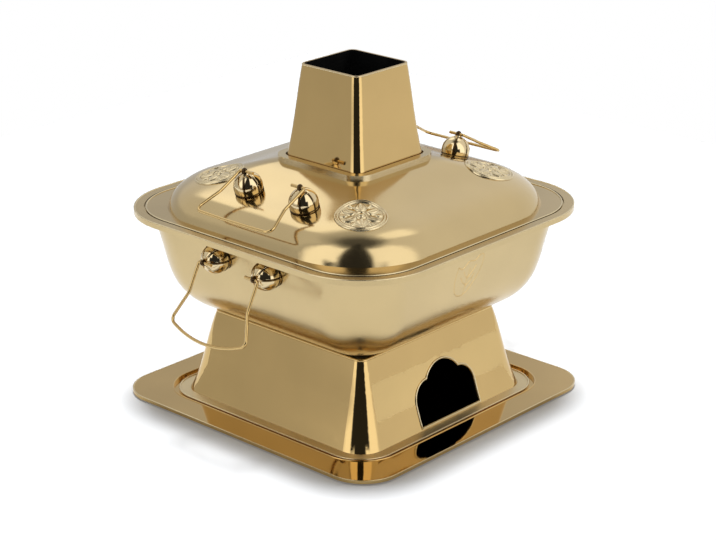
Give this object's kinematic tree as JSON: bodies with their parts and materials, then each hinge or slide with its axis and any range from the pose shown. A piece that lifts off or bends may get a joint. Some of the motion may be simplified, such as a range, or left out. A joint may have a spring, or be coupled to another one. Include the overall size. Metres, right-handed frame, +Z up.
{
  "type": "chimney hot pot",
  "caption": "Square chimney hot pot in gold-coloured metal: lift-off ring lid round a tapered chimney, broth trough, footed fire stand with arched door, drip tray and swinging bails",
  "frame": {"origin": "on the table under the centre of the drip tray, chimney and pot, on the tray's flat underside", "axes": "+Z up along the chimney, +X to the right towards the right-hand bails, -Y towards the front with the stand's door"},
  "size_m": [0.3306, 0.2782, 0.2681],
  "materials": {
    "polished_gold": "mirror polished",
    "satin_gold": "satin",
    "grate_iron": "rough",
    "fastener_steel": "brushed"
  },
  "bodies": {
    "tray": {"drip_tray": "polished_gold"},
    "stand": {"stand_shell": "polished_gold"},
    "pot": {"pot_bowl": "satin_gold", "fire_tube": "polished_gold", "charcoal_grate": "grate_iron", "pot_boss_left_front": "polished_gold", "pot_boss_left_rear": "polished_gold", "pot_boss_right_front": "polished_gold", "pot_boss_right_rear": "polished_gold", "pot_boss_screws": "fastener_steel", "pot_boss_washers": "fastener_steel"},
    "lid": {"lid_shell": "satin_gold", "lid_collar": "polished_gold", "lid_boss_left_front": "polished_gold", "lid_boss_left_rear": "polished_gold", "lid_boss_right_front": "polished_gold", "lid_boss_right_rear": "polished_gold", "lid_boss_screws": "fastener_steel", "lid_boss_washers": "fastener_steel", "lid_medallion_left_front": "polished_gold", "lid_medallion_left_rear": "polished_gold", "lid_medallion_right_front": "polished_gold", "lid_medallion_right_rear": "polished_gold"},
    "pot_bail_left": {"pot_bail_left": "polished_gold"},
    "pot_bail_right": {"pot_bail_right": "polished_gold"},
    "lid_bail_left": {"lid_bail_left": "polished_gold"},
    "lid_bail_right": {"lid_bail_right": "polished_gold"}
  },
  "joints": [
    {"name": "stand_lift", "type": "slide", "parent": "tray", "child": "stand", "axis": [0, 0, 1], "range_m": [0, 0.06]},
    {"name": "pot_lift", "type": "slide", "parent": "stand", "child": "pot", "axis": [0, 0, 1], "range_m": [0, 0.08]},
    {"name": "lid_lift", "type": "slide", "parent": "pot", "child": "lid", "axis": [0, 0, 1], "range_m": [0, 0.15]},
    {"name": "pot_bail_left_swing", "type": "hinge", "parent": "pot", "child": "pot_bail_left", "pos_m": [-0.1379, 0, 0.1372], "axis": [0, 1, 0], "range_deg": [-45, 140]},
    {"name": "pot_bail_right_swing", "type": "hinge", "parent": "pot", "child": "pot_bail_right", "pos_m": [0.1379, 0, 0.1372], "axis": [0, -1, 0], "range_deg": [-45, 140]},
    {"name": "lid_bail_left_swing", "type": "hinge", "parent": "lid", "child": "lid_bail_left", "pos_m": [-0.09062, 0, 0.19697], "axis": [0, 1, 0], "range_deg": [-10, 205]},
    {"name": "lid_bail_right_swing", "type": "hinge", "parent": "lid", "child": "lid_bail_right", "pos_m": [0.09062, 0, 0.19697], "axis": [0, -1, 0], "range_deg": [-10, 205]}
  ]
}
